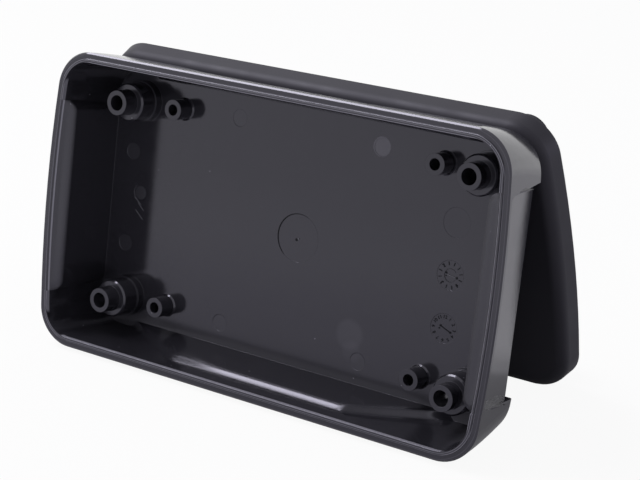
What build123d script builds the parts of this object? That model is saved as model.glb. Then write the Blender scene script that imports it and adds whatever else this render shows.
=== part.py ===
from build123d import *
import math
import os

# Two-piece moulded instrument enclosure, shown open: the deep front shell stands
# on its long side and the shallow rear shell leans against its back.
# Each shell is drawn in its own frame, X along the length, Y across the width and
# Z = 0 at the parting plane, then turned into the shared frame. Millimetres.

# Parting outline, common to both shells
RIM_LENGTH = 129.5       # over the crowns of the bowed ends
RIM_WIDTH = 73.9         # between the straight long sides
RIM_CORNER = 9.7         # corner radius at the parting plane
END_BOW = 2.0            # how far each end swells past its corners
WALL = 2.3               # nominal wall
RIM_LAND = 2.45          # width of the flat land at the parting plane
RIM_BREAK = 0.4          # beveled outer edge of the land
TONGUE_INSET = 1.6       # low tongue that locates the rear shell
TONGUE_HEIGHT = 0.35
TONGUE_ROUND = 0.12

# Outer walls fall in towards the outside; the long sides are a little convex
SIDE_SLOPE = 0.030       # long sides, per mm of depth
SIDE_CURVE = 0.0038      # long sides, per mm squared
END_SLOPE = 0.158        # ends, per mm of depth

# Front shell
TRAY_DEPTH = 20.5        # parting plane to the outside face
TRAY_FLOOR = 2.5         # thickness of the large face
TRAY_EDGE = 1.0          # rounded outside edge

# Screw bosses, here on a 100 x 50 rectangle
BOSS_IN_X = 14.75        # boss centre in from the crown of an end
BOSS_IN_Y = 11.95        # boss centre in from a long side
SPIGOT_DIA = 6.1         # tip that enters the rear shell's boss
SPIGOT_HOLE = 3.8        # clearance for a 3.5 mm self-tapping screw
SPIGOT_DRAFT = 0.035     # radius gained per mm below the tip
SPIGOT_BELOW_RIM = 6.7   # tip of the spigot under the parting plane
SHOULDER_BELOW_RIM = 10.86
BOSS_DIA = 9.5
BOSS_CHAMFER = 0.4
BOSS_FOOT_DIA = 10.3
BOSS_FOOT_HEIGHT = 2.2
HEAD_DIA = 7.0           # counterbore for the screw head, from the outside
HEAD_SEAT = 2.5          # material left between head seat and shoulder

# Circuit board posts in line with the bosses, here on a 75 x 50 rectangle
POST_FROM_BOSS = 12.5    # post centre to boss centre along the length
POST_DIA = 5.07
POST_HEIGHT = 4.83
POST_HOLE = 2.75
POST_HOLE_DEPTH = 5.4
POST_FOOT = 0.35

# Inner ledge on each end wall and the shallow outer recess behind it
LEDGE_BELOW_RIM = 1.1
LEDGE_FROM_SIDE = 12.75  # end of the ledge in from a long side
LEDGE_CORNER = 3.6
LEDGE_FOOT_IN = 3.15     # where the ramp under the tongue meets the ledge
TONGUE_CREST = 0.2       # width left of the tongue's top over the ramp
LEDGE_FACE_IN = 6.2      # inner face of the end wall in from the crown
LEDGE_FACE_LEAN = 0.15   # and further in at the floor
RECESS_BELOW_RIM = 1.45
RECESS_IN_LEDGE = 0.8    # end of the recess in from the end of the ledge
RECESS_FLARE = 0.07      # half width gained per mm of depth
RECESS_CORNER = 1.7
RECESS_DEPTH = 1.35

# Finger grip pressed into each long side, a trapezoid that opens at the back
GRIP_BELOW_RIM = 5.8
GRIP_RAMP = 1.0          # run of its sloping upper edge
GRIP_TOP_FROM_END = 40.05
GRIP_FOOT_FROM_END = 16.75  # where it meets the floor
GRIP_IN_TOP = 1.0        # how far it stands in under the ramp
GRIP_IN_FLOOR = 1.7      # and at the floor
GRIP_ROUND = 0.9         # blend of its upper ramp into its face

# Witness marks of the mould on the inside face
MARK_DEPTH = 0.08
GATE_RADIUS = 5.85
PIN_RADIUS = 2.1
PIN_ROW_HALF = 20.5      # pins in line with the bosses, either side of the middle
PIN_ROW_OUT = 0.6        # their line, out from the line of bosses
END_PIN_OUT = 2.5        # pins by the left end, out from the line of bosses
END_PIN_HALF = 11.8
LAST_PIN = (0.9, 1.8)    # in from the line of bosses, and up
INSERT_RADIUS = 3.5      # turning inserts of the date stamp and the like
INSERT_IN = 7.7          # their line, in from the line of bosses
INSERT_ROW = [12.2, 0.0, -12.4]

# Rear shell
COVER_DEPTH = 6.3
COVER_FACE = 2.0
COVER_EDGE = 3.0         # large round between its walls and its face
SOCKET_CLEARANCE = 0.15  # all round the spigot
SHOULDER_GAP = 0.1       # between boss end and shoulder when closed
PILOT_DIA = 2.9          # for the 3.5 mm self-tapping screw
PILOT_LEFT = 0.9         # material left over the pilot
LIP_FROM_END = 22.75     # ends of the side lips in from the crowns
LIP_WIDTH = 1.2
LIP_HEIGHT = 0.9
LIP_CLEARANCE = 0.15

# How the two stand
TRAY_LEAN = 8.9          # degrees, leaning back
COVER_LEAN = 17.3        # degrees, leaning forward
COVER_SHIFT = -3.55      # the rear shell stands a little to the left
REST_GAP = 0.05          # left where the two touch

HALF_X = RIM_LENGTH / 2
HALF_Y = RIM_WIDTH / 2
INNER_DEPTH = TRAY_DEPTH - TRAY_FLOOR
SPIGOT_LENGTH = SHOULDER_BELOW_RIM - SPIGOT_BELOW_RIM
BOSS_X = HALF_X - BOSS_IN_X
BOSS_Y = HALF_Y - BOSS_IN_Y
POST_X = BOSS_X - POST_FROM_BOSS
LEDGE_HALF_WIDTH = HALF_Y - LEDGE_FROM_SIDE
LEDGE_FOOT = HALF_X - LEDGE_FOOT_IN
LEDGE_FACE_TOP = HALF_X - LEDGE_FACE_IN
LEDGE_FACE_FLOOR = LEDGE_FACE_TOP - LEDGE_FACE_LEAN
RECESS_HALF_WIDTH = LEDGE_HALF_WIDTH - RECESS_IN_LEDGE
GRIP_HALF_TOP = HALF_X - GRIP_TOP_FROM_END
GRIP_HALF_FLOOR = HALF_X - GRIP_FOOT_FROM_END
LIP_LENGTH = RIM_LENGTH - 2 * LIP_FROM_END


def side_fall(depth):
    """Fall of a long side's outer wall towards the centre at a depth."""
    return SIDE_SLOPE * depth + SIDE_CURVE * depth ** 2


def end_fall(depth):
    """Fall of an end's outer wall towards the centre at a depth."""
    return END_SLOPE * depth


BOW_RADIUS = (HALF_Y ** 2 + END_BOW ** 2) / (2 * END_BOW)
BOW_CENTRE = HALF_X - BOW_RADIUS


def outline(inset=0.0):
    """Parting outline, set in from the outer wall."""
    hx = HALF_X - inset
    hy = HALF_Y - inset
    x = BOW_CENTRE + math.sqrt((BOW_RADIUS - inset) ** 2 - hy ** 2)
    right = ThreePointArc((x, -hy), (hx, 0), (x, hy))
    upper = Line((x, hy), (-x, hy))
    left = ThreePointArc((-x, hy), (-hx, 0), (-x, -hy))
    lower = Line((-x, -hy), (x, -hy))
    face = make_face([right, upper, left, lower])
    return fillet(face.vertices(), RIM_CORNER - inset)


def form(depth, inset, low_inset, above=0.0):
    """Solid within a shell's walls, from above the parting plane to a depth.

    The long sides are a convex section drawn across the shell. Each end is a
    tapered profile turned about the centre of its bow. The corners are rounds.
    """
    gain = (low_inset - inset) / depth
    steps = [(d, inset + gain * d) for d in (-above, (depth - above) / 2, depth)]
    side = [(HALF_Y - side_fall(d) - gap, -d) for d, gap in steps]
    crown, foot = [(HALF_X - end_fall(d) - gap, -d) for d, gap in steps[::2]]
    other = [(-y, z) for y, z in side]
    top = side[0][1]
    across = make_face([Line(other[0], side[0]), ThreePointArc(*side),
                        Line(side[2], other[2]), ThreePointArc(*other)])
    body = extrude(Plane.YZ * across, amount=HALF_X + 1, both=True)
    profile = make_face(Polyline((BOW_CENTRE, top), crown, foot, (BOW_CENTRE, -depth), close=True))
    start = Rot(0, 0, 180) * Pos(-BOW_CENTRE, 0, 0) * (Plane.XZ * profile)
    disc = Pos(BOW_CENTRE, 0, 0) * revolve(start, Axis.Z, 360)
    body = body & disc & mirror(disc, Plane.YZ)
    corners = [e for e in body.edges()
               if abs(e.center().X) > HALF_X / 2 and abs(e.center().Y) > HALF_Y / 2
               and e.bounding_box().size.Z > 0.9 * depth]
    return fillet(corners, RIM_CORNER - inset)


def shell_body(depth, edge):
    """Outside of a shell, its face below, with a rounded face edge."""
    body = form(depth, 0, 0)
    return fillet(body.edges().group_by(Axis.Z)[0], edge)


def shell_cavity(depth):
    """Space inside a shell's walls, from above the parting plane to its floor."""
    return form(depth, RIM_LAND, WALL, TONGUE_HEIGHT + 1)


def at_corners(shape, x, y):
    """The same shape at the four corners of a centred rectangle."""
    return [spot * shape for spot in GridLocations(2 * x, 2 * y, 2, 2)]


def turned(points, turn=30):
    """Profile in X and Z turned about the centre of the right end's bow."""
    face = Plane.XZ * make_face(Polyline(*points, close=True))
    start = Rot(0, 0, -turn / 2) * Pos(-BOW_CENTRE, 0, 0) * face
    return Pos(BOW_CENTRE, 0, 0) * revolve(start, Axis.Z, turn)


def ledge_plan(low, high):
    """Space over and in the thick part of the right end wall."""
    length = HALF_X - LEDGE_FACE_FLOOR + LEDGE_CORNER
    plan = RectangleRounded(length, 2 * LEDGE_HALF_WIDTH, LEDGE_CORNER)
    face = Pos(LEDGE_FACE_FLOOR - 0.2 + length / 2, 0, low) * plan
    return extrude(face, amount=high - low)


def end_ledge():
    """Thick end wall inside the tray, its top a ledge under a bowed ramp."""
    deep = -INNER_DEPTH - 0.5
    far = HALF_X - 1.0
    top = TONGUE_HEIGHT
    crest = HALF_X - TONGUE_INSET - TONGUE_CREST
    body = turned([(LEDGE_FACE_FLOOR - 4, deep), (LEDGE_FACE_FLOOR - 4, -LEDGE_BELOW_RIM),
                   (LEDGE_FOOT, -LEDGE_BELOW_RIM), (crest, top),
                   (crest + 0.1, top), (crest + 0.1, -0.3), (far, -0.3), (far, deep)])
    face = Polyline((LEDGE_FACE_FLOOR, deep), (LEDGE_FACE_TOP, 1), (far, 1), (far, deep),
                    close=True)
    bar = extrude(Plane.XZ * make_face(face), amount=HALF_Y, both=True)
    return bar & ledge_plan(deep, 1) & body


def ledge_cutter():
    """Takes the tongue's inner side down to the ramp over the ledge."""
    crest = HALF_X - TONGUE_INSET - TONGUE_CREST
    over = turned([(LEDGE_FOOT, -LEDGE_BELOW_RIM), (crest, TONGUE_HEIGHT), (crest, 2),
                   (LEDGE_FACE_FLOOR, 2), (LEDGE_FACE_FLOOR, -LEDGE_BELOW_RIM)])
    return over & ledge_plan(-LEDGE_BELOW_RIM - 1, 3)


def end_recess():
    """Shallow recess outside an end wall, open at the back."""
    top = -RECESS_BELOW_RIM
    low = -TRAY_DEPTH - 1
    half_low = RECESS_HALF_WIDTH + RECESS_FLARE * (top - low)
    front = Polyline((-RECESS_HALF_WIDTH, top), (RECESS_HALF_WIDTH, top),
                     (half_low, low), (-half_low, low), close=True)
    front = make_face(front)
    corners = front.vertices().group_by(Axis.Y)[-1]
    front = fillet(corners, RECESS_CORNER)
    block = extrude(Plane.YZ * front, amount=HALF_X + 5)
    floor_top = HALF_X - RECESS_DEPTH - 0.1
    floor_low = HALF_X - RECESS_DEPTH - end_fall(-low)
    keep = Polyline((0, 1), (floor_top, 1), (floor_top, top),
                    (floor_low, low), (0, low), close=True)
    keep = extrude(Plane.XZ * make_face(keep), amount=HALF_Y, both=True)
    return block - keep


def grip_wedge(behind, low, reach, lift):
    """Tapered wedge with a trapezoid face, pressed into a long side.

    behind: how far its face lies outside the inner face of the grip.
    low: depth that it runs down to; reach: how far it stands out from there.
    lift: how much higher than the inner ramp it starts.
    """
    spread = (GRIP_HALF_FLOOR - GRIP_HALF_TOP) / (INNER_DEPTH - GRIP_BELOW_RIM)
    under = GRIP_BELOW_RIM + GRIP_RAMP
    y_under = HALF_Y - side_fall(under) - RIM_LAND - GRIP_IN_TOP
    y_floor = HALF_Y - side_fall(INNER_DEPTH) - WALL - GRIP_IN_FLOOR
    slope = (y_floor - y_under) / (INNER_DEPTH - under)

    def trapezoid(out):
        top = under - lift - out * GRIP_RAMP / GRIP_IN_TOP
        a = GRIP_HALF_TOP + spread * (top - GRIP_BELOW_RIM) - GRIP_IN_TOP + out
        b = GRIP_HALF_TOP + spread * (low - GRIP_BELOW_RIM) - GRIP_IN_FLOOR + out
        y_top = y_under + slope * (top - under) + behind + out
        y_low = y_under + slope * (low - under) + behind + out
        return make_face(Polyline((-a, y_top, -top), (a, y_top, -top),
                                  (b, y_low, -low), (-b, y_low, -low), close=True))

    return loft([trapezoid(0), trapezoid(reach)], ruled=True)


def grip_pad():
    """Inside of a finger grip, its ramp rounded into its face."""
    pad = grip_wedge(0, INNER_DEPTH + 0.5, GRIP_IN_TOP + 0.7, 0)
    under = GRIP_BELOW_RIM + GRIP_RAMP
    crease = [e for e in pad.edges() if abs(e.center().Z + under) < 0.01
              and e.bounding_box().size.Z < 0.01]
    return fillet(crease, GRIP_ROUND)


def tray_boss():
    """Stepped screw boss from the floor to its spigot tip, on the Z axis."""
    shoulder = -SHOULDER_BELOW_RIM
    tip_radius = SPIGOT_DIA / 2
    root_radius = tip_radius + SPIGOT_DRAFT * SPIGOT_LENGTH
    radius = BOSS_DIA / 2
    foot = BOSS_FOOT_DIA / 2
    profile = Polyline((0, -INNER_DEPTH - 0.5), (foot, -INNER_DEPTH - 0.5),
                       (foot, BOSS_FOOT_HEIGHT - INNER_DEPTH),
                       (radius, BOSS_FOOT_HEIGHT - INNER_DEPTH),
                       (radius, shoulder - BOSS_CHAMFER),
                       (radius - BOSS_CHAMFER, shoulder),
                       (root_radius, shoulder),
                       (tip_radius, -SPIGOT_BELOW_RIM),
                       (0, -SPIGOT_BELOW_RIM), close=True)
    return revolve(Plane.XZ * make_face(profile), Axis.Z)


def tray_boss_bore():
    """Screw clearance and head counterbore of a tray boss."""
    seat = SHOULDER_BELOW_RIM + HEAD_SEAT
    clearance = Pos(0, 0, -SPIGOT_BELOW_RIM + 1) * hanging(SPIGOT_HOLE, TRAY_DEPTH)
    head = Pos(0, 0, -seat) * hanging(HEAD_DIA, TRAY_DEPTH)
    return clearance + head


def hanging(diameter, length):
    """Cylinder that hangs down from the origin."""
    return Cylinder(diameter / 2, length, align=(Align.CENTER, Align.CENTER, Align.MAX))


def standing(diameter, height):
    """Cylinder that stands up from the origin."""
    return Cylinder(diameter / 2, height, align=(Align.CENTER, Align.CENTER, Align.MIN))


def board_post():
    """Circuit board post with a small foot, standing on the floor."""
    post = standing(POST_DIA, POST_HEIGHT + 0.5)
    foot = Cone(POST_DIA / 2 + POST_FOOT, POST_DIA / 2, POST_FOOT,
                align=(Align.CENTER, Align.CENTER, Align.MIN))
    return Pos(0, 0, -INNER_DEPTH - 0.5) * post + Pos(0, 0, -INNER_DEPTH) * foot


def floor_mark(radius):
    """Print of a round tool insert or an ejector pin, sunk in the floor."""
    return Pos(0, 0, -INNER_DEPTH - MARK_DEPTH) * standing(2 * radius, 1)


def make_tray():
    """Front shell in its own frame."""
    body = shell_body(TRAY_DEPTH, TRAY_EDGE)
    rim = [e for e in body.edges() if e.bounding_box().min.Z > -0.01]
    body = chamfer(rim, RIM_BREAK)
    tongue = extrude(outline(TONGUE_INSET), amount=TONGUE_HEIGHT)
    tongue = fillet(tongue.edges().group_by(Axis.Z)[-1], TONGUE_ROUND)
    tray = body + tongue - shell_cavity(INNER_DEPTH)
    ledge = end_ledge()
    pad = grip_pad()
    tray += [ledge, mirror(ledge, Plane.YZ), pad, mirror(pad, Plane.XZ)]
    over = ledge_cutter()
    tray -= [over, mirror(over, Plane.YZ)]
    tray += at_corners(tray_boss(), BOSS_X, BOSS_Y)
    tray += at_corners(board_post(), POST_X, BOSS_Y)
    recess = end_recess()
    press = grip_wedge(WALL, TRAY_DEPTH + 1, 4, 0.4 * WALL)
    tray -= [recess, mirror(recess, Plane.YZ), press, mirror(press, Plane.XZ)]
    tray -= at_corners(tray_boss_bore(), BOSS_X, BOSS_Y)
    top_of_post = Pos(0, 0, POST_HEIGHT - INNER_DEPTH + 0.5)
    hole = top_of_post * hanging(POST_HOLE, POST_HOLE_DEPTH + 0.5)
    tray -= at_corners(hole, POST_X, BOSS_Y)
    marks = [floor_mark(GATE_RADIUS)]
    pin = floor_mark(PIN_RADIUS)
    marks += at_corners(pin, PIN_ROW_HALF, BOSS_Y + PIN_ROW_OUT)
    marks += [Pos(-BOSS_X - END_PIN_OUT, y) * pin for y in (-END_PIN_HALF, END_PIN_HALF)]
    marks += [Pos(-BOSS_X + LAST_PIN[0], LAST_PIN[1]) * pin]
    insert = floor_mark(INSERT_RADIUS)
    marks += [Pos(BOSS_X - INSERT_IN, y) * insert for y in INSERT_ROW]
    tray -= marks
    return tray


def make_cover():
    """Rear shell in its own frame, its face towards +Z."""
    inner = COVER_DEPTH - COVER_FACE
    shell = shell_body(COVER_DEPTH, COVER_EDGE) - shell_cavity(inner)
    rebate = extrude(outline(TONGUE_INSET - LIP_CLEARANCE), amount=-TONGUE_HEIGHT - 0.1)
    cover = Rot(180, 0, 0) * (shell - rebate)
    end = SHOULDER_GAP - SHOULDER_BELOW_RIM
    socket_dia = SPIGOT_DIA + 2 * (SOCKET_CLEARANCE + SPIGOT_DRAFT * SPIGOT_LENGTH)
    boss = Pos(0, 0, end) * standing(BOSS_DIA, inner + 0.5 - end)
    socket = Pos(0, 0, end) * standing(socket_dia, SPIGOT_LENGTH)
    pilot = Pos(0, 0, end) * standing(PILOT_DIA, COVER_DEPTH - PILOT_LEFT - end)
    cover += at_corners(boss, BOSS_X, BOSS_Y)
    lip_outside = HALF_Y - RIM_LAND - LIP_CLEARANCE
    root = Pos(0, lip_outside - LIP_WIDTH, 0)
    start = TONGUE_HEIGHT + 0.1
    lip = root * Box(LIP_LENGTH, LIP_WIDTH, LIP_HEIGHT + inner + 0.5,
                     align=(Align.CENTER, Align.MIN, Align.MIN))
    backing = Pos(0, 0, start) * root * Box(LIP_LENGTH, LIP_WIDTH + 1, inner + 0.5 - start,
                                            align=(Align.CENTER, Align.MIN, Align.MIN))
    lip = Pos(0, 0, -LIP_HEIGHT) * lip + backing
    cover += [lip, mirror(lip, Plane.XZ)]
    cover -= at_corners(socket, BOSS_X, BOSS_Y)
    cover -= at_corners(pilot, BOSS_X, BOSS_Y)
    return cover


def round_centre(depth, edge):
    """Distance from the centre line to the centre of a face's rounded edge."""
    slope = SIDE_SLOPE + 2 * SIDE_CURVE * depth
    return HALF_Y - side_fall(depth) + edge * (slope - math.hypot(1, slope))


def stand(tray, cover):
    """Stand both shells on the ground, the cover's top against the tray's back.

    Each rests on the rounded lower edge of its outside face, so the centres of
    those rounds give the heights, and the upper rounds give the distance.
    """
    lean = math.radians(TRAY_LEAN)
    tip = math.radians(COVER_LEAN)
    tray_y = round_centre(TRAY_DEPTH, TRAY_EDGE)
    tray_z = TRAY_EDGE - TRAY_DEPTH
    cover_y = round_centre(COVER_DEPTH, COVER_EDGE)
    cover_z = COVER_DEPTH - COVER_EDGE
    tray_height = TRAY_EDGE + tray_y * math.cos(lean) - tray_z * math.sin(lean)
    cover_height = COVER_EDGE + cover_y * math.cos(tip) + cover_z * math.sin(tip)
    tray_top_y = tray_y * math.sin(lean) - tray_z * math.cos(lean)
    tray_top_z = tray_height + tray_y * math.cos(lean) + tray_z * math.sin(lean)
    cover_top_y = -cover_y * math.sin(tip) - cover_z * math.cos(tip)
    cover_top_z = cover_height + cover_y * math.cos(tip) - cover_z * math.sin(tip)
    reach = TRAY_EDGE + COVER_EDGE + REST_GAP
    rise = cover_top_z - tray_top_z
    away = math.sqrt(max(reach ** 2 - rise ** 2, 0))
    if away * math.sin(lean) + rise * math.cos(lean) < 0:
        away = (reach + rise * math.sin(lean)) / math.cos(lean)
    back = tray_top_y + away - cover_top_y
    tray = Pos(0, 0, tray_height) * Rot(90 - TRAY_LEAN, 0, 0) * tray
    cover = Pos(COVER_SHIFT, back, cover_height) * Rot(90 + COVER_LEAN, 0, 0) * cover
    both = Compound(children=[Compound(tray.wrapped), Compound(cover.wrapped)])
    box = both.bounding_box()
    centre = Pos(-(box.min.X + box.max.X) / 2, -(box.min.Y + box.max.Y) / 2, -box.min.Z)
    return centre * tray, centre * cover


tray, cover = stand(make_tray(), make_cover())
os.makedirs("parts", exist_ok=True)
export_step(tray, "parts/base_tray.step")
export_step(cover, "parts/cover.step")
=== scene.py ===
import bpy
import bmesh
import math
from mathutils import Matrix, Vector


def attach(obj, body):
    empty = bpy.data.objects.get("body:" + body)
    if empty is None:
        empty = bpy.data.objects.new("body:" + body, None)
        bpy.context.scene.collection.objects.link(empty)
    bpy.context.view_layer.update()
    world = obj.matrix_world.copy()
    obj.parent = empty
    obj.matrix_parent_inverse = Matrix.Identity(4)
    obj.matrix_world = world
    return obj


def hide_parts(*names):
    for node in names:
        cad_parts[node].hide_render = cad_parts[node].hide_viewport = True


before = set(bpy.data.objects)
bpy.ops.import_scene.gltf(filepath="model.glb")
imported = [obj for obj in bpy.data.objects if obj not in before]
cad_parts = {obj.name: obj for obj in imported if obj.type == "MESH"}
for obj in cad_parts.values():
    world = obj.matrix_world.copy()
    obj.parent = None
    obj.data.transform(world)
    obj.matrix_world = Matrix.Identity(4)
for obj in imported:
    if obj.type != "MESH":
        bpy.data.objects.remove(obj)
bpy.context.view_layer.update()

scene = bpy.context.scene
scene.view_settings.view_transform = "Standard"
MM = 0.001

# Where each shell's own drawing frame stands: millimetres, and degrees about X.
# The parting plane is z = 0, and the front shell's floor lies at FLOOR_Z.
TRAY_AT = (1.80621, -27.5385, 37.54819)
TRAY_TURN = 81.1
COVER_AT = (-1.74379, 14.21605, 36.31826)
COVER_TURN = 107.3

# The front shell's outline in that frame, as the CAD source draws it
HALF_LENGTH = 64.75     # at the crown of the bowed ends
HALF_WIDTH = 36.95
BOW = 684.0             # y squared over this is how far the bow falls back
CORNER = 9.7
END_DRAFT = 0.158
SIDE_DRAFT = 0.030      # at the rim, and SIDE_CURVE more for each millimetre down
SIDE_CURVE = 0.0038
FLOOR_Z = -18.0

tray_frame = (Matrix.Translation(Vector(TRAY_AT) * MM)
              @ Matrix.Rotation(math.radians(TRAY_TURN), 4, "X"))


def aim(obj, place, target):
    """Put an object at a place and turn its -Z axis to a target."""
    obj.location = place
    direction = Vector(target) - Vector(place)
    obj.rotation_euler = direction.to_track_quat("-Z", "Y").to_euler()


# ---- camera at the photograph's view ----
CAMERA_AT = Vector((0.23754, -0.343546, 0.172675))
CAMERA_RIGHT = Vector((0.82, 0.572, 0.021))
CAMERA_UP = Vector((-0.199, 0.252, 0.947))
cam_data = bpy.data.cameras.new("camera")
cam_data.sensor_width = 36.0
cam_data.lens = 101.79
cam_data.clip_start = 0.01
cam_data.clip_end = 50.0
camera = bpy.data.objects.new("camera", cam_data)
scene.collection.objects.link(camera)
scene.camera = camera
back = CAMERA_RIGHT.cross(CAMERA_UP).normalized()
up = back.cross(CAMERA_RIGHT).normalized()
turn = Matrix((up.cross(back), up, back)).transposed().to_4x4()
camera.matrix_world = Matrix.Translation(CAMERA_AT) @ turn


# ---- node helpers ----
class Nodes:
    """Short way to build a node tree; a plain number or vector fills a socket."""

    def __init__(self, tree):
        self.tree = tree
        tree.nodes.clear()

    def add(self, kind, **values):
        node = self.tree.nodes.new(kind)
        for key, value in values.items():
            setattr(node, key, value)
        return node

    def put(self, socket, value):
        if isinstance(value, bpy.types.NodeSocket):
            self.tree.links.new(value, socket)
        else:
            socket.default_value = value

    def math(self, operation, a, b=0.0, c=0.0, clamp=False):
        node = self.add("ShaderNodeMath", operation=operation, use_clamp=clamp)
        for socket, value in zip(node.inputs, (a, b, c)):
            self.put(socket, value)
        return node.outputs[0]

    def vector(self, operation, a, b=(0, 0, 0)):
        node = self.add("ShaderNodeVectorMath", operation=operation)
        self.put(node.inputs[0], a)
        self.put(node.inputs[1], b)
        return node.outputs["Value" if operation in ("LENGTH", "DISTANCE") else 0]

    def ramp(self, value, low, high, start=0.0, end=1.0):
        node = self.add("ShaderNodeMapRange", interpolation_type="SMOOTHSTEP")
        for socket, item in zip(node.inputs, (value, low, high, start, end)):
            self.put(socket, item)
        return node.outputs[0]

    def blend(self, factor, a, b):
        node = self.add("ShaderNodeMix", data_type="RGBA")
        self.put(node.inputs[0], factor)
        self.put(node.inputs[6], a)
        self.put(node.inputs[7], b)
        return node.outputs[2]

    def add_tone(self, mask, base, tone):
        """The base colour with a little grey added where the mask is."""
        grey = self.add("ShaderNodeCombineXYZ")
        for socket, share in zip(grey.inputs, (1.0, 0.98, 1.12)):
            self.put(socket, self.math("MULTIPLY", mask, tone * share))
        return self.vector("ADD", base, grey.outputs[0])

    def mix(self, factor, a, b):
        node = self.add("ShaderNodeMix", data_type="FLOAT")
        self.put(node.inputs[0], factor)
        self.put(node.inputs[2], a)
        self.put(node.inputs[3], b)
        return node.outputs[0]

    def band(self, value, centre, half, soft=0.04):
        """One where a value is within half of a centre."""
        off = self.math("ABSOLUTE", self.math("SUBTRACT", value, centre))
        return self.ramp(off, half - soft, half + soft, 1.0, 0.0)

    def specks(self, coords, scale, radius, limit):
        """Sparse round specks: a share of the cells, those above the limit, has one."""
        cells = self.add("ShaderNodeTexVoronoi")
        self.put(cells.inputs["Vector"], coords)
        self.put(cells.inputs["Scale"], scale)
        dot = self.ramp(cells.outputs["Distance"], radius * 0.6, radius, 1.0, 0.0)
        pick = self.add("ShaderNodeSeparateColor")
        self.put(pick.inputs[0], cells.outputs["Color"])
        return self.math("MULTIPLY", dot, self.math("GREATER_THAN", pick.outputs[0], limit))

    def noise(self, coords, scale, detail=2.0):
        node = self.add("ShaderNodeTexNoise")
        self.put(node.inputs["Vector"], coords)
        self.put(node.inputs["Scale"], scale)
        self.put(node.inputs["Detail"], detail)
        return node.outputs["Fac"]


def seen_white(n, mirrored=1.0):
    """One for camera rays, and the given share for reflections and through glass."""
    path = n.add("ShaderNodeLightPath").outputs
    other = n.math("MAXIMUM", path["Is Glossy Ray"], path["Is Transmission Ray"])
    return n.math("MAXIMUM", path["Is Camera Ray"], n.math("MULTIPLY", other, mirrored))


# ---- world ----
world = bpy.data.worlds.new("studio")
scene.world = world
world.use_nodes = True
n = Nodes(world.node_tree)
out = n.add("ShaderNodeOutputWorld")
light = n.add("ShaderNodeBackground")
light.inputs["Color"].default_value = (0.95, 0.94, 1.0, 1)
light.inputs["Strength"].default_value = 0.55
white = n.add("ShaderNodeBackground")
white.inputs["Color"].default_value = (1, 1, 1, 1)
white.inputs["Strength"].default_value = 1.0
mix = n.add("ShaderNodeMixShader")
n.put(mix.inputs["Fac"], seen_white(n))
n.put(mix.inputs[1], light.outputs[0])
n.put(mix.inputs[2], white.outputs[0])
n.put(out.inputs["Surface"], mix.outputs[0])


def softbox(name, place, target, width, height, power, color):
    data = bpy.data.lights.new(name, "AREA")
    data.shape = "RECTANGLE"
    data.size = width
    data.size_y = height
    data.energy = power
    data.color = color
    obj = bpy.data.objects.new(name, data)
    scene.collection.objects.link(obj)
    aim(obj, place, target)


softbox("overhead", (-0.45, -0.10, 0.75), (0, 0, 0.03), 0.5, 0.5, 7.0, (0.97, 0.96, 1.0))
softbox("right_side", (0.75, 0.55, 0.10), (0, 0, 0.04), 0.6, 0.5, 1.5, (0.80, 0.77, 1.0))

# ---- floor ----
FAR = 3.0               # half the floor's side, in metres
# Share of the paper's white glow that reflections see: low near the object as a painted shadow
# under it, and rising away from the object
SHADOW_GLOW = 0.1
SHADOW_FROM, SHADOW_TO = 0.16, 0.45   # metres from the middle
PAPER_WHITE = 0.93
floor_mesh = bpy.data.meshes.new("floor")
corners = [(-FAR, -FAR, 0), (FAR, -FAR, 0), (FAR, FAR, 0), (-FAR, FAR, 0)]
floor_mesh.from_pydata(corners, [], [(0, 1, 2, 3)])
floor = bpy.data.objects.new("floor", floor_mesh)
scene.collection.objects.link(floor)
paper = bpy.data.materials.new("floor_paper")
paper.use_nodes = True
n = Nodes(paper.node_tree)
out = n.add("ShaderNodeOutputMaterial")
matte = n.add("ShaderNodeBsdfDiffuse")
matte.inputs["Color"].default_value = (0.6, 0.6, 0.6, 1)
glow = n.add("ShaderNodeEmission")
mix = n.add("ShaderNodeMixShader")
spot = n.add("ShaderNodeTexCoord")
away = n.vector("LENGTH", spot.outputs["Object"])
# Painted shadow: reflections see the floor's glow dimmed near the object
shadowed_glow = n.ramp(away, SHADOW_FROM, SHADOW_TO, SHADOW_GLOW, 1.0)
n.put(mix.inputs["Fac"], n.math("MULTIPLY", seen_white(n, shadowed_glow), PAPER_WHITE))
n.put(mix.inputs[1], matte.outputs[0])
n.put(mix.inputs[2], glow.outputs[0])
n.put(out.inputs["Surface"], mix.outputs[0])
floor_mesh.materials.append(paper)


# ---- thin and thick blocks in the front shell's frame ----
def blocks(name, pairs):
    """One object of closed blocks, each between two outlines of (x, y, z) in mm."""
    bm = bmesh.new()
    for first, second in pairs:
        low = []
        top = []
        for a, b in zip(first, second):
            low.append(bm.verts.new(tray_frame @ (Vector(a) * MM)))
            top.append(bm.verts.new(tray_frame @ (Vector(b) * MM)))
        bm.faces.new(low)
        bm.faces.new(top)
        for i in range(len(low)):
            j = (i + 1) % len(low)
            bm.faces.new((low[i], low[j], top[j], top[i]))
    bmesh.ops.recalc_face_normals(bm, faces=bm.faces)
    mesh = bpy.data.meshes.new(name)
    bm.to_mesh(mesh)
    bm.free()
    obj = bpy.data.objects.new(name, mesh)
    scene.collection.objects.link(obj)
    return obj


# ---- front shell, its end recesses cut to the depth that their ends show ----
RECESS_TOP = -1.45
RECESS_LOW = -21.5      # past the outside of the floor
RECESS_HALF = 23.4      # half its width at the top
RECESS_CORNER = 1.7
RECESS_SPREAD = 0.07    # wider on each side for each millimetre down
RECESS_FLOOR = 62.65    # its floor's distance from the middle at the top
RECESS_DRAFT = 0.205    # and nearer to the middle for each millimetre down
CUT_PAST = 70.0


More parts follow.
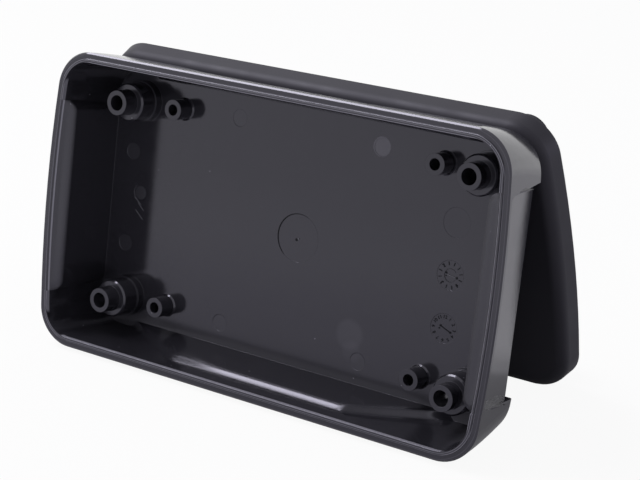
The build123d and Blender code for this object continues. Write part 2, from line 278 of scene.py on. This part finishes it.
def recess_cutter(side):
    """Block outside an end wall with a plane floor that leans in to the back."""
    spread = RECESS_SPREAD * (RECESS_TOP - RECESS_LOW)
    points = [(RECESS_HALF + spread, RECESS_LOW)]
    for i in range(7):
        a = math.radians(15 * i)
        points.append((RECESS_HALF - RECESS_CORNER + RECESS_CORNER * math.cos(a),
                       RECESS_TOP - RECESS_CORNER + RECESS_CORNER * math.sin(a)))
    points += [(-y, z) for y, z in reversed(points)]
    inner = [(side * (RECESS_FLOOR - RECESS_DRAFT * (RECESS_TOP - z)), y, z) for y, z in points]
    outer = [(side * CUT_PAST, y, z) for y, z in points]
    return blocks("recess_cutter", [(inner, outer)])


shell = bpy.data.objects.new("front_shell", bpy.data.objects["base_tray"].data.copy())
scene.collection.objects.link(shell)
cutters = [recess_cutter(1), recess_cutter(-1)]
for cutter in cutters:
    cut = shell.modifiers.new("recess", "BOOLEAN")
    cut.operation = "DIFFERENCE"
    cut.solver = "EXACT"
    cut.object = cutter


def corner_keys(mesh):
    """Every face corner with its place as a key."""
    for poly in mesh.polygons:
        for index in poly.loop_indices:
            co = mesh.vertices[mesh.loops[index].vertex_index].co
            yield poly, index, tuple(round(c * 1e6) for c in co)


def carry_normals(source, target):
    """Shade uncut faces as the source does, and cut faces flat."""
    known = {}
    for poly, index, key in corner_keys(source):
        normal = source.corner_normals[index].vector.copy()
        known.setdefault(key, []).append((poly.normal.copy(), normal))
    normals = [None] * len(target.loops)
    for poly, index, key in corner_keys(target):
        near = [pair for pair in known.get(key, ()) if pair[0].dot(poly.normal) > 0.9999]
        best = max(near, key=lambda pair: pair[0].dot(poly.normal), default=None)
        normals[index] = best[1] if best else poly.normal.copy()
    target.polygons.foreach_set("use_smooth", [True] * len(target.polygons))
    target.normals_split_custom_set(normals)


bpy.context.view_layer.update()
graph = bpy.context.evaluated_depsgraph_get()
done = bpy.data.meshes.new_from_object(shell.evaluated_get(graph))
shell.modifiers.clear()
carry_normals(shell.data, done)
shell.data = done
for cutter in cutters:
    bpy.data.objects.remove(cutter)
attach(shell, "root")
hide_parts("base_tray")


# ---- moulded black ABS ----
def local_place(n, at, degrees):
    """Place on a shell in its own drawing frame, in millimetres."""
    coords = n.add("ShaderNodeTexCoord")
    mapping = n.add("ShaderNodeMapping", vector_type="TEXTURE")
    n.put(mapping.inputs["Vector"], coords.outputs["Object"])
    mapping.inputs["Location"].default_value = [v * MM for v in at]
    mapping.inputs["Rotation"].default_value = (math.radians(degrees), 0, 0)
    mapping.inputs["Scale"].default_value = (MM, MM, MM)
    return mapping.outputs[0]


# The mask's edge, as CORNER less the way in from the outline
WALL_REACH = 7.65       # 2.05 mm in, within the wall
RIM_REACH = 9.25        # 0.45 mm in, on the rim


def inside_mask(n, place):
    """Masks of the front shell's inside and of the height of its pressed grips, the
    way in from its outline, and the place's x, y and z."""
    split = n.add("ShaderNodeSeparateXYZ")
    n.put(split.inputs[0], place)
    x, y, z = split.outputs
    depth = n.math("MAXIMUM", n.math("MULTIPLY", z, -1.0), 0.0)
    bow = n.math("MULTIPLY", n.math("MULTIPLY", y, y), 1 / BOW)
    end = n.math("SUBTRACT", HALF_LENGTH, n.math("ADD", bow, n.math("MULTIPLY", depth, END_DRAFT)))
    fall = n.math("MULTIPLY_ADD", depth, SIDE_CURVE, SIDE_DRAFT)
    side = n.math("SUBTRACT", HALF_WIDTH, n.math("MULTIPLY", fall, depth))
    qx = n.math("ADD", n.math("SUBTRACT", n.math("ABSOLUTE", x), end), CORNER)
    qy = n.math("ADD", n.math("SUBTRACT", n.math("ABSOLUTE", y), side), CORNER)
    ax = n.math("MAXIMUM", qx, 0.0)
    ay = n.math("MAXIMUM", qy, 0.0)
    squares = n.math("ADD", n.math("MULTIPLY", ax, ax), n.math("MULTIPLY", ay, ay))
    beside = n.math("MINIMUM", n.math("MAXIMUM", qx, qy), 0.0)
    gap = n.math("ADD", n.math("SQRT", squares), beside)
    reach = n.ramp(z, -0.5, -0.3, WALL_REACH, RIM_REACH)
    within = n.ramp(n.math("SUBTRACT", gap, reach), -0.1, 0.1, 1.0, 0.0)
    above = n.ramp(z, -18.6, -18.3, 0.0, 1.0)
    wall = n.ramp(n.math("ABSOLUTE", y), 30.0, 31.0)
    wall = n.math("MULTIPLY", wall, n.ramp(z, -6.5, -4.5, 1.0, 0.0))
    wall = n.math("MULTIPLY", wall, n.ramp(z, -16.8, -15.0))
    way_in = n.math("SUBTRACT", CORNER, gap)
    return n.math("MULTIPLY", within, above), wall, way_in, split.outputs


def disc(n, place, x, y, radius, soft):
    """One within a circle about a line along the shell's depth."""
    away = n.vector("DISTANCE", n.vector("MULTIPLY", place, (1, 1, 0)), (x, y, 0))
    return n.ramp(away, radius - soft, radius + soft, 1.0, 0.0)


PLASTIC_IOR = 1.58
LILAC_SHEEN = (0.87, 0.85, 1.0, 1.0)
GRAIN_HEIGHT = 0.0001   # metres


def finish(n, base, rough, bump_height, grain, edge, level):
    """Principled plastic: grain is the bump's strength, edge the radius of softened
    edges in metres, level the strength of its reflections."""
    out = n.add("ShaderNodeOutputMaterial")
    bsdf = n.add("ShaderNodeBsdfPrincipled")
    bsdf.inputs["IOR"].default_value = PLASTIC_IOR
    bsdf.inputs["Specular IOR Level"].default_value = level
    bsdf.inputs["Specular Tint"].default_value = LILAC_SHEEN
    bevel = n.add("ShaderNodeBevel", samples=8)
    n.put(bevel.inputs["Radius"], edge)
    bump = n.add("ShaderNodeBump")
    n.put(bump.inputs["Normal"], bevel.outputs[0])
    n.put(bump.inputs["Height"], bump_height)
    bump.inputs["Strength"].default_value = grain
    bump.inputs["Distance"].default_value = GRAIN_HEIGHT
    n.put(bsdf.inputs["Normal"], bump.outputs[0])
    n.put(bsdf.inputs["Base Color"], base)
    n.put(bsdf.inputs["Roughness"], rough)
    n.put(out.inputs["Surface"], bsdf.outputs[0])


tray_abs = bpy.data.materials.new("tray_abs_moulded")
tray_abs.use_nodes = True
n = Nodes(tray_abs.node_tree)
place = local_place(n, TRAY_AT, TRAY_TURN)
inside, pressed, way_in, (place_x, place_y, place_z) = inside_mask(n, place)
cloud = n.noise(place, 0.09, 3.0)
grain = n.noise(place, 9.0, 2.0)
rough = n.ramp(cloud, 0.3, 0.7, 0.085, 0.12)
base = n.blend(cloud, (0.0155, 0.0150, 0.0190, 1), (0.0195, 0.0190, 0.0235, 1))

# Prints of the ejector pins and inserts on the floor, each with its own polish
off_floor = n.math("ABSOLUTE", n.math("ADD", -FLOOR_Z, place_z))
on_floor = n.ramp(off_floor, 0.15, 0.3, 1.0, 0.0)
SHARP, SOFT = 0.12, 0.8
PRINTS = [  # x, y, radius, softness of the edge, roughness, tone
    (20.4, 25.7, 2.35, SHARP, 0.34, 0.075), (-20.4, 25.7, 2.2, SHARP, 0.16, 0.004),
    (-20.4, -25.7, 2.1, SHARP, 0.16, 0.004), (20.4, -25.7, 2.1, SHARP, 0.20, 0.006),
    (-52.5, 11.8, 2.1, SHARP, 0.24, 0.010), (-52.5, -11.8, 2.1, SHARP, 0.24, 0.008),
    (-49.1, 1.8, 1.7, SHARP, 0.26, 0.012), (42.3, 12.2, 3.5, SHARP, 0.17, 0.0),
    (17.5, -19.7, 3.6, SOFT, 0.22, 0.014), (18.5, -23.5, 2.4, SOFT, 0.20, 0.008),
]
for px, py, radius, soft, polish, tone in PRINTS:
    mask = n.math("MULTIPLY", disc(n, place, px, py, radius, soft), on_floor)
    rough = n.mix(mask, rough, polish)
    base = n.add_tone(mask, base, tone)

# Painted highlights: light lines along the rim's sharp edges, where they catch the light; and
# specks of dust
RIM_PAINTED_HIGHLIGHTS = [  # way in from the outline, half width, tone
    (0.45, 0.08, 0.03), (1.5, 0.08, 0.13), (1.92, 0.07, 0.11), (2.42, 0.11, 0.20),
]
DUST_TONE = 0.35
on_rim = n.ramp(place_z, -0.7, -0.6)
# the rim's painted highlights, as lighter tone in the base colour
for centre, half, tone in RIM_PAINTED_HIGHLIGHTS:
    base = n.add_tone(n.math("MULTIPLY", n.band(way_in, centre, half), on_rim), base, tone)
dust = n.specks(place, 0.5, 0.065, n.mix(on_floor, 0.90, 0.985))
base = n.add_tone(n.math("MULTIPLY", dust, inside), base, DUST_TONE)

# Radius of the softened edges in metres, which shades them and moves no face:
# sharp, but wider on the inside of the pressed grips and on the end ledges
EDGE_SHARP = 0.00012
EDGE_WIDE = 0.0030
EDGE_GRIP_LEFT, EDGE_GRIP_RIGHT = 0.0045, 0.0013
from_middle = n.math("ABSOLUTE", place_x)
beyond = n.ramp(from_middle, 22.0, 27.0)
grip = n.mix(beyond, n.ramp(place_x, -25.0, -8.0, EDGE_GRIP_LEFT, EDGE_GRIP_RIGHT), EDGE_WIDE)
edge = n.mix(n.math("MULTIPLY", pressed, inside), EDGE_SHARP, grip)
ledge = n.math("MULTIPLY", n.ramp(way_in, 2.5, 2.7), n.ramp(place_z, -2.6, -2.0))
ledge = n.math("MULTIPLY", ledge, n.ramp(from_middle, 50.0, 52.0))
edge = n.mix(ledge, edge, EDGE_WIDE)
height = n.math("ADD", cloud, n.math("MULTIPLY", grain, 0.3))
finish(n, base, rough, height, 0.12, edge, 0.5)

cover_abs = bpy.data.materials.new("cover_abs_moulded")
cover_abs.use_nodes = True
n = Nodes(cover_abs.node_tree)
place = local_place(n, COVER_AT, COVER_TURN)
cloud = n.noise(place, 0.09, 3.0)
grain = n.noise(place, 9.0, 2.0)
base = n.blend(cloud, (0.0140, 0.0133, 0.0175, 1), (0.0185, 0.0178, 0.0225, 1))
rough = n.ramp(cloud, 0.3, 0.7, 0.46, 0.55)
height = n.math("ADD", cloud, n.math("MULTIPLY", grain, 0.3))
finish(n, base, rough, height, 0.2, 0.0004, 0.20)

# ---- fine mould marks on the front shell's floor: flow ring, gate and two dials, with a painted highlight on the gate ----
PLATE_SUNK = 0.02       # how far a mark's plate reaches into the floor
THIN = 0.012            # height of the flattest marks and of the numbers


def plain(name, base, rough):
    """Dull plastic of one tone, for the marks."""
    material = bpy.data.materials.new(name)
    material.use_nodes = True
    n = Nodes(material.node_tree)
    coords = n.add("ShaderNodeTexCoord").outputs["Object"]
    cloud = n.noise(coords, 900.0, 3.0)
    out = n.add("ShaderNodeOutputMaterial")
    bsdf = n.add("ShaderNodeBsdfPrincipled")
    bsdf.inputs["Specular IOR Level"].default_value = 0.15
    dim = tuple(c * 0.8 for c in base)
    n.put(bsdf.inputs["Base Color"], n.blend(cloud, (*dim, 1), (*base, 1)))
    n.put(bsdf.inputs["Roughness"], n.ramp(cloud, 0.3, 0.7, rough, rough + 0.1))
    n.put(out.inputs["Surface"], bsdf.outputs[0])
    return material


def keep(obj, material):
    """A mark stays with the front shell, and in its material's slot."""
    obj.data.materials.append(material)
    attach(obj, "root")


def outline_piece(name, outlines, height, material):
    """Thin closed plates on the floor, one for each outline of (x, y) in millimetres."""
    low = FLOOR_Z - PLATE_SUNK
    top = FLOOR_Z + height
    pairs = [([(x, y, low) for x, y in outline], [(x, y, top) for x, y in outline])
             for outline in outlines]
    keep(blocks(name, pairs), material)


def polar(centre, radius, degrees):
    a = math.radians(degrees)
    return centre[0] + radius * math.cos(a), centre[1] + radius * math.sin(a)


def arc(centre, radius, width, start, end, steps):
    """Strips round a centre, thinning out to both ends."""
    pieces = []
    for i in range(steps):
        a = start + (end - start) * i / steps
        b = start + (end - start) * (i + 1) / steps
        w = width * math.sin(math.pi * (i + 0.5) / steps) ** 0.5 / 2
        pieces.append([polar(centre, radius - w, a), polar(centre, radius + w, a),
                       polar(centre, radius + w, b), polar(centre, radius - w, b)])
    return pieces


def bar(a, b, width):
    """Straight strip between two points."""
    dx, dy = b[0] - a[0], b[1] - a[1]
    length = math.hypot(dx, dy)
    nx, ny = -dy / length * width / 2, dx / length * width / 2
    return [(a[0] + nx, a[1] + ny), (b[0] + nx, b[1] + ny),
            (b[0] - nx, b[1] - ny), (a[0] - nx, a[1] - ny)]


def dot(centre, radius):
    return [polar(centre, radius, 30 * i) for i in range(12)]


def numbers(name, centre, radius, items, size, material):
    """Raised numbers round a dial, each turned to face outwards."""
    for i, (value, degrees) in enumerate(items):
        curve = bpy.data.curves.new(f"{name}_{i}", "FONT")
        curve.body = value
        curve.size = size * MM
        curve.extrude = THIN * MM
        curve.resolution_u = 2
        curve.align_x = "CENTER"
        curve.align_y = "CENTER"
        x, y = polar(centre, radius, degrees)
        obj = bpy.data.objects.new(f"{name}_{i}", curve)
        scene.collection.objects.link(obj)
        spin = Matrix.Rotation(math.radians(degrees - 90), 4, "Z")
        shift = Matrix.Translation(Vector((x, y, FLOOR_Z + THIN)) * MM)
        obj.matrix_world = tray_frame @ shift @ spin
        keep(obj, material)


dark = plain("mark_dark", (0.010, 0.010, 0.013), 0.6)
grey = plain("mark_grey", (0.040, 0.039, 0.046), 0.5)
light = plain("mark_light", (0.16, 0.16, 0.18), 0.4)
outline_piece("flow_ring", arc((0, 0), 5.85, 0.26, 62, 235, 48), THIN, dark)
outline_piece("gate_pip", [dot((-0.35, -0.43), 0.34)], 0.03, dark)
# The gate's glint is a painted highlight: a light disc beside the dark pip.
outline_piece("gate_glint", [dot((0.15, -0.15), 0.22)], 0.03, light)

YEARS = (42.3, 0.0)
ticks = [bar(polar(YEARS, 2.35, 15 + 30 * i), polar(YEARS, 3.2, 15 + 30 * i), 0.17)
         for i in range(12)]
ends = [dot((41.2, 0.45), 0.24), dot((41.2, -0.2), 0.16), dot((44.0, -0.3), 0.28)]
outline_piece("year_dial_ticks", ticks, 0.02, dark)
outline_piece("year_dial_ring", arc(YEARS, 1.55, 0.10, 30, 330, 30), THIN, grey)
outline_piece("year_dial_arrow", [bar((41.3, 0.15), (43.9, -0.25), 0.15)], 0.03, light)
outline_piece("year_dial_ends", ends, 0.035, dark)
numbers("year_number", YEARS, 2.75, [(str(i), 90 * i - 45) for i in range(1, 5)], 1.3, dark)

MONTHS = (42.3, -12.4)
arrow = [bar((41.4, -11.9), (44.1, -13.0), 0.2),
         dot((41.4, -11.85), 0.27), dot((41.15, -12.5), 0.2), dot((44.1, -13.0), 0.27)]
outline_piece("month_dial_arrow", arrow, 0.03, dark)
numbers("month_number", MONTHS, 2.7, [(str(i), 90 - 30 * i) for i in range(1, 13)], 1.15, dark)

scratches = [bar((-50.9, 0.4), (-48.6, -1.2), 0.12), bar((-49.6, -0.9), (-47.6, -2.6), 0.14),
             bar((-50.2, -2.8), (-47.7, -4.9), 0.12)]
outline_piece("scratches", scratches, 0.02, light)

shell.data.materials.clear()
shell.data.materials.append(tray_abs)
for name, material in (("base_tray", tray_abs), ("cover", cover_abs)):
    for slot in bpy.data.objects[name].material_slots:
        slot.material = material
